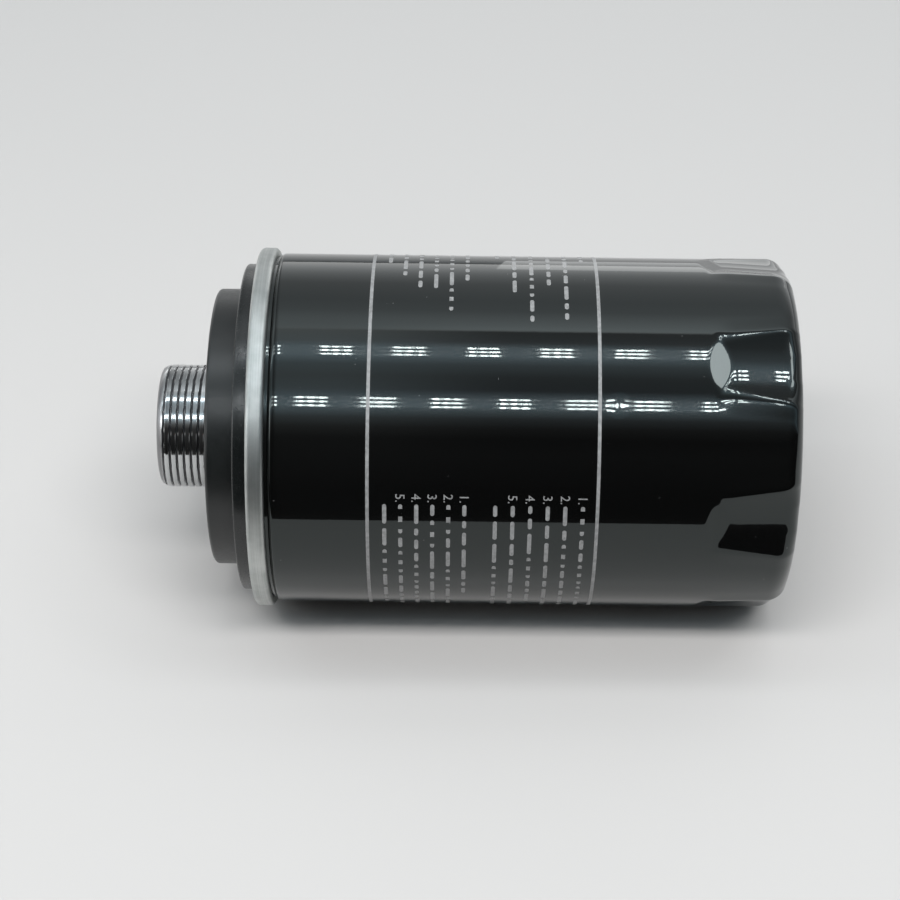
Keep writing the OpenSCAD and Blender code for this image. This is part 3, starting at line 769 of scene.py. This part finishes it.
# The point LOOK_X on the axis lies AIM_RIGHT and AIM_DOWN from the middle of the view and DISTANCE away. YAW
# and ROLL are the axis's tilt in the view, in radians
LENS = 89.65
SENSOR_WIDTH = 36.0
DISTANCE = 491.95
ELEVATION = 40.0
LOOK_X = 54.8
AIM_RIGHT = 4.17
AIM_DOWN = -4.51
YAW = -0.0059
ROLL = 0.0141


def place_camera():
    """Puts the camera at the viewing angle, with the axis a little off level and off centre."""
    axis = Vector((math.cos(YAW) * math.cos(ROLL), math.cos(YAW) * math.sin(ROLL), math.sin(YAW)))
    aim = Vector((AIM_RIGHT, AIM_DOWN, DISTANCE))
    back = -aim.normalized()
    towards = (back - axis * axis.dot(back)).normalized()
    above = towards.cross(axis)
    rise = math.radians(ELEVATION)
    flat, lift = math.cos(rise), math.sin(rise)
    seen = Matrix((axis, towards, above)).transposed()
    real = Matrix(((1, 0, 0), (0, -flat, lift), (0, lift, flat))).transposed()
    turn = real @ seen.transposed()
    spot = Vector((LOOK_X, 0, 0)) - turn @ aim
    data = bpy.data.cameras.new("camera")
    data.lens = LENS
    data.sensor_width = SENSOR_WIDTH
    data.clip_start = 0.01
    camera = put("camera", data)
    pose = turn @ Matrix.Diagonal((1, -1, -1))
    camera.matrix_world = Matrix.Translation(spot * MM) @ pose.to_4x4()
    bpy.context.scene.camera = camera


# The floor's faint patches run between two tints of its tone. It is in two sheets, which meet at FLOOR_FRONT
FLOOR_TONE = 0.445
FLOOR_TINTS = ((1.0, 0.965, 0.94), (1.015, 0.98, 0.955))
FLOOR_FRONT = -150.0
FLOOR_REACH = 6000.0
# Where the seam and the can's far end touch the floor: place along X and radius
SEAM_REST = (12.0, SEAM_R)
CAN_REST = (103.3, CAN_R)


def floor_height(x):
    """Height of the floor that the seam and the can's far end rest on."""
    rise = (SEAM_REST[1] - CAN_REST[1]) / (CAN_REST[0] - SEAM_REST[0])
    return (x - SEAM_REST[0]) * rise - SEAM_REST[1]


def make_floor():
    """Pale seamless floor in two sheets: the front one is left out of reflections."""
    look = Shader("pale_floor")
    low, high = (colour(*(FLOOR_TONE * share for share in tint)) for tint in FLOOR_TINTS)
    look.set(Base_Color=look.tint(look.noise(look.place(), 0.004), low, high, 0.2),
             Roughness=0.9, Specular_IOR_Level=0.1)
    left, right = -FLOOR_REACH, FLOOR_REACH
    for name, near, far in (("floor", FLOOR_FRONT, FLOOR_REACH), ("floor_front", -FLOOR_REACH, FLOOR_FRONT)):
        corners = ((left, near), (right, near), (right, far), (left, far))
        verts = [(x, y, floor_height(x)) for x, y in corners]
        sheet = finish_mesh(name, verts, [(0, 1, 2, 3)], look.material)
        if name == "floor_front":
            sheet.visible_glossy = False


# The light tent by the angle from the front horizon over the top to the back, in degrees: brightness on the
# right, brightness on the left and blueness
SKY = ((0, 0.02, 0.03, 0), (24, 0.04, 0.06, 0), (34, 0.02, 0.07, 0), (41, 0.08, 0.19, 0),
       (47, 0.28, 0.50, 0.1), (51, 0.75, 1.00, 0.2), (55, 1.35, 1.40, 0.25), (60, 0.90, 1.10, 0.25),
       (65, 0.24, 0.80, 0.15), (74, 0.32, 0.70, 0.1), (82, 0.65, 0.85, 0.15), (88, 1.35, 1.45, 0.22),
       (94, 1.20, 1.40, 0.22), (98, 0.42, 1.10, 0.1), (106.2, 0.30, 1.10, 0.04), (107.4, 1.80, 1.45, 0.04),
       (108.5, 1.80, 1.40, 0.06), (111, 1.55, 1.30, 0.06), (116, 1.22, 1.15, 0.06), (123, 0.80, 0.82, 0.06),
       (132, 0.66, 0.64, 0.06), (150, 0.66, 0.60, 0.04), (163, 0.90, 0.90, 0.03), (172, 1.20, 1.20, 0.02),
       (180, 1.40, 1.40, 0))
# The brightness that stands for 1 in the tent's colours, which reach from 0 to 1
SKY_TOP = 3.0
BLUE_LIFT = 0.6
# X of the directions where the left's brightness gives way to the right's
CHANGE_OVER = (-0.07, 0.03)
# The tent dims on both sides, from the first X of a direction to the second, to a share of its brightness
SIDES = (0.45, 0.95)
SIDES_LEVEL = 0.45
# A darker gap in the tent, which the nipple's thread mirrors: X where it starts, is darkest and ends
GAP = (-0.36, -0.14, -0.105)
GAP_LEVEL = 0.3
BACKDROP = colour(0.68, 0.70, 0.71)


def make_sky():
    """A soft light tent: dark towards the viewer, dimmer at both sides and in a gap on the left.

    The camera itself sees a plain backdrop in its place.
    """
    world = bpy.data.worlds.new("light_tent")
    bpy.context.scene.world = world
    world.use_nodes = True
    world.node_tree.nodes.clear()
    sky = Nodes(world.node_tree)

    def smooth(value, low, high, to_low, to_high):
        return sky.span(value, low, high, to_low, to_high, interpolation_type="SMOOTHSTEP")

    def ramp(column):
        """The tent's colour by its angle, with the brightness from one column of SKY."""
        made = sky.add("ShaderNodeValToRGB", {0: angle})
        stops = made.color_ramp.elements
        while len(stops) < len(SKY):
            stops.new(0.5)
        for stop, row in zip(stops, SKY):
            stop.position = row[0] / 180
        for stop, row in zip(stops, SKY):
            level, blue = row[column] / SKY_TOP, row[3]
            stop.color = (level * (1 - blue), level, level * (1 + BLUE_LIFT * blue), 1)
        return made.outputs[0]

    way = sky.add("ShaderNodeSeparateXYZ", {0: sky.add("ShaderNodeTexCoord").outputs["Generated"]}).outputs
    front = sky.math("MULTIPLY", way[1], -1.0)
    angle = sky.math("DIVIDE", sky.math("ARCTAN2", way[2], front), math.pi)
    left = smooth(way[0], *CHANGE_OVER, 1.0, 0.0)
    sides = smooth(sky.math("ABSOLUTE", way[0]), *SIDES, 1.0, SIDES_LEVEL)
    gap = sky.math("MAXIMUM", smooth(way[0], GAP[1], GAP[2], GAP_LEVEL, 1.0),
                   smooth(way[0], GAP[0], GAP[1], 1.0, GAP_LEVEL))
    strength = sky.math("MULTIPLY", sky.math("MULTIPLY", sides, gap), SKY_TOP)
    tent = sky.add("ShaderNodeBackground", {0: sky.blend(left, ramp(1), ramp(2)), 1: strength})
    backdrop = sky.add("ShaderNodeBackground", {0: BACKDROP})
    seen = sky.add("ShaderNodeLightPath").outputs["Is Camera Ray"]
    shown = sky.add("ShaderNodeMixShader", {0: seen, 1: tent.outputs[0], 2: backdrop.outputs[0]})
    sky.add("ShaderNodeOutputWorld", {0: shown.outputs[0]})


def area_light(name, width, height, level, place):
    """A rectangular light that shines like a wall of a brightness. The camera doesn't see it."""
    data = bpy.data.lights.new(name, "AREA")
    data.shape = "RECTANGLE"
    data.size = width
    data.size_y = height
    data.energy = level * math.pi * width * height
    light = put(name, data)
    light.matrix_world = place
    light.visible_camera = False
    return light


# Two rows of ceiling lamps, which run along X. Each lamp is three tubes side by side, in three short parts.
# Lengths are in metres. A row has its angle from the front horizon, its brightness, the place of its first
# lamp and the pitch of its lamps, the last two as shares of the way from the camera by the can to the lamps
# LAMP_HEIGHT is their distance from the axis, and EYE_TO_CAN the camera's from the can
LAMP_HEIGHT = 0.6
EYE_TO_CAN = 0.455
TUBES = 3
TUBE_ROOM = 0.026
TUBE_WIDTH = 0.0105
LAMP_ROWS = ((89.5, 50.0, -0.0848, 0.0319), (56.0, 50.0, -0.0922, 0.0292))
LAMPS_IN_ROW = 10
LAMP_PARTS = 3
PART_PITCH = 0.00505
PART_LENGTH = 0.0029
# Long strips that carry the rows on past the nipple
STRIP_START = -0.060
STRIP_LENGTH = 1.5
STRIP_LEVEL = 5.0


def make_tube(name, degrees, level, x, length):
    """One tube over the filter at an angle from the front horizon, centred on x."""
    angle = math.radians(degrees)
    spot = Vector((x, -LAMP_HEIGHT * math.cos(angle), LAMP_HEIGHT * math.sin(angle)))
    place = Matrix.Translation(spot) @ Matrix.Rotation(math.pi / 2 - angle, 4, "X")
    area_light(name, length, TUBE_WIDTH, level, place)


def make_lamps():
    """The rows of lamps, with a strip on the left of each tube."""
    path = LAMP_HEIGHT + EYE_TO_CAN
    step = math.degrees(TUBE_ROOM / LAMP_HEIGHT)
    for row, (degrees, level, first, pitch) in enumerate(LAMP_ROWS):
        for tube in range(TUBES):
            angle = degrees + (tube - (TUBES - 1) / 2) * step
            for i in range(LAMPS_IN_ROW):
                x = (LOOK_X - AIM_RIGHT) * MM + (first + i * pitch) * path
                for part in range(LAMP_PARTS):
                    part_x = x + (part - (LAMP_PARTS - 1) / 2) * PART_PITCH
                    make_tube(f"lamp_{row}_{i}_{tube}_{part}", angle, level, part_x, PART_LENGTH)
            make_tube(f"strip_{row}_{tube}", angle, STRIP_LEVEL, STRIP_START - STRIP_LENGTH / 2, STRIP_LENGTH)


# Soft boxes: direction and distance from the middle, width, height, brightness, and whether they show in
# reflections and light surfaces. The pockets' ramps mirror the first and the can's shoulder the second. The
# third only fills the shadow at the front. The can's top mirrors the fourth on the left and the fifth on the
# right, and the nipple's lead-in mirrors the last
SOFT_BOXES = (((0.47, -0.055, 0.80), 0.93, 0.19, 0.19, 6.0, True, True),
              ((-0.80, -0.42, 0.43), 0.9, 0.25, 0.25, 2.5, True, True),
              ((0.0, -0.45, 0.89), 1.6, 1.8, 0.24, 20.5, False, True),
              ((-1.15, 0.90, 0.08), 0.58, 0.95, 0.13, 0.60, True, False),
              ((0.36, 1.0, 0.09), 0.40, 0.26, 0.13, 0.78, True, False),
              ((-0.90, -0.35, 0.27), 0.7, 0.6, 0.5, 0.8, True, False))


def make_soft_boxes():
    """The soft boxes, which all face the filter's middle."""
    middle = Vector((LOOK_X * MM, 0, 0))
    for i, (way, distance, width, height, level, shown, lights) in enumerate(SOFT_BOXES):
        way = Vector(way).normalized()
        turn = way.to_track_quat("Z", "Y").to_matrix().to_4x4()
        place = Matrix.Translation(way * distance + middle) @ turn
        box = area_light(f"soft_box_{i}", width, height, level, place)
        box.visible_glossy = shown
        box.visible_diffuse = lights


# ---------------------------------------------------------------- build

def dress_cad_nodes(finishes):
    """Gives each CAD node that stays in view its finish."""
    for name, material in finishes.items():
        data = frame["nodes"][name].data
        data.materials.clear()
        data.materials.append(material)


def add_valve_springs(material):
    """Copies each valve's spring with the wire finish and hangs the copy on its joint's parent body, in place
    of the CAD spring.
    """
    bpy.context.view_layer.update()
    for joint in frame["record"]["behaviour"]["joints"]:
        for spring in joint["deforming_nodes"]:
            node, fixed_x = spring["node"], spring["fixed_end_x_m"]
            cad = frame["nodes"][node]
            coil = put(f"{node}_coil", cad.data.copy())
            coil.matrix_world = cad.matrix_world
            coil.data.materials.clear()
            coil.data.materials.append(material)
            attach(coil, joint["parent"])
            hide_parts(node)
            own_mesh(coil)


paint = paint_black()
zinc = zinc_plate()
steel = turned_steel()
gasket_rubber = sealing_rubber()
white = ink()

body = "filter"
for piece, node, slot in ((make_can(paint), "can", "can_paint"),
                          (make_lid(zinc), "seaming_lid", "zinc_plated_steel"),
                          (make_gasket(gasket_rubber), "gasket", "gasket_rubber"),
                          (make_nipple(steel), "threaded_nipple", "machined_steel")):
    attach(piece, body)
    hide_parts(node)

prints = [lathe(f"hoop_line_{i}", hoop_section(x), white) for i, x in enumerate(HOOPS, 1)]
prints.append(make_small_type(white))
for piece in prints:
    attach(piece, body)

tin = sheet_steel("tinned_sheet", grey(0.55), grey(0.75), 0.26)
plate = sheet_steel("pressed_plate", grey(0.36), grey(0.52), 0.36)
wire = sheet_steel("spring_wire", grey(0.30), grey(0.44), 0.30)
nitrile = moulded("nitrile_rubber", grey(0.03), grey(0.05), 0.5)
nylon = moulded("valve_nylon", colour(0.66, 0.60, 0.46), colour(0.78, 0.72, 0.57), 0.45)
silicone = moulded("silicone_rubber", colour(0.42, 0.09, 0.025), colour(0.55, 0.14, 0.04), 0.5)
adhesive = moulded("plastisol", colour(0.52, 0.36, 0.14), colour(0.66, 0.48, 0.22), 0.6, 0.8)
dress_cad_nodes({
    "tapping_plate": plate, "bypass_poppet": plate,
    "outlet_valve_seat": steel,
    "outlet_valve_disc": nylon,
    "anti_drain_valve": silicone,
    "element_seal": nitrile, "bypass_seal": nitrile,
    "front_end_cap": tin, "rear_end_cap": tin, "media_seam_clip": tin, "centre_tube": tin, "bypass_cage": tin,
    "front_adhesive": adhesive, "rear_adhesive": adhesive,
    "filter_media": paper(),
    "support_spring": wire,
})
add_valve_springs(wire)

make_floor()
make_sky()
make_lamps()
make_soft_boxes()
place_camera()
bpy.context.scene.view_settings.view_transform = "Standard"
bpy.context.scene.cycles.use_denoising = True
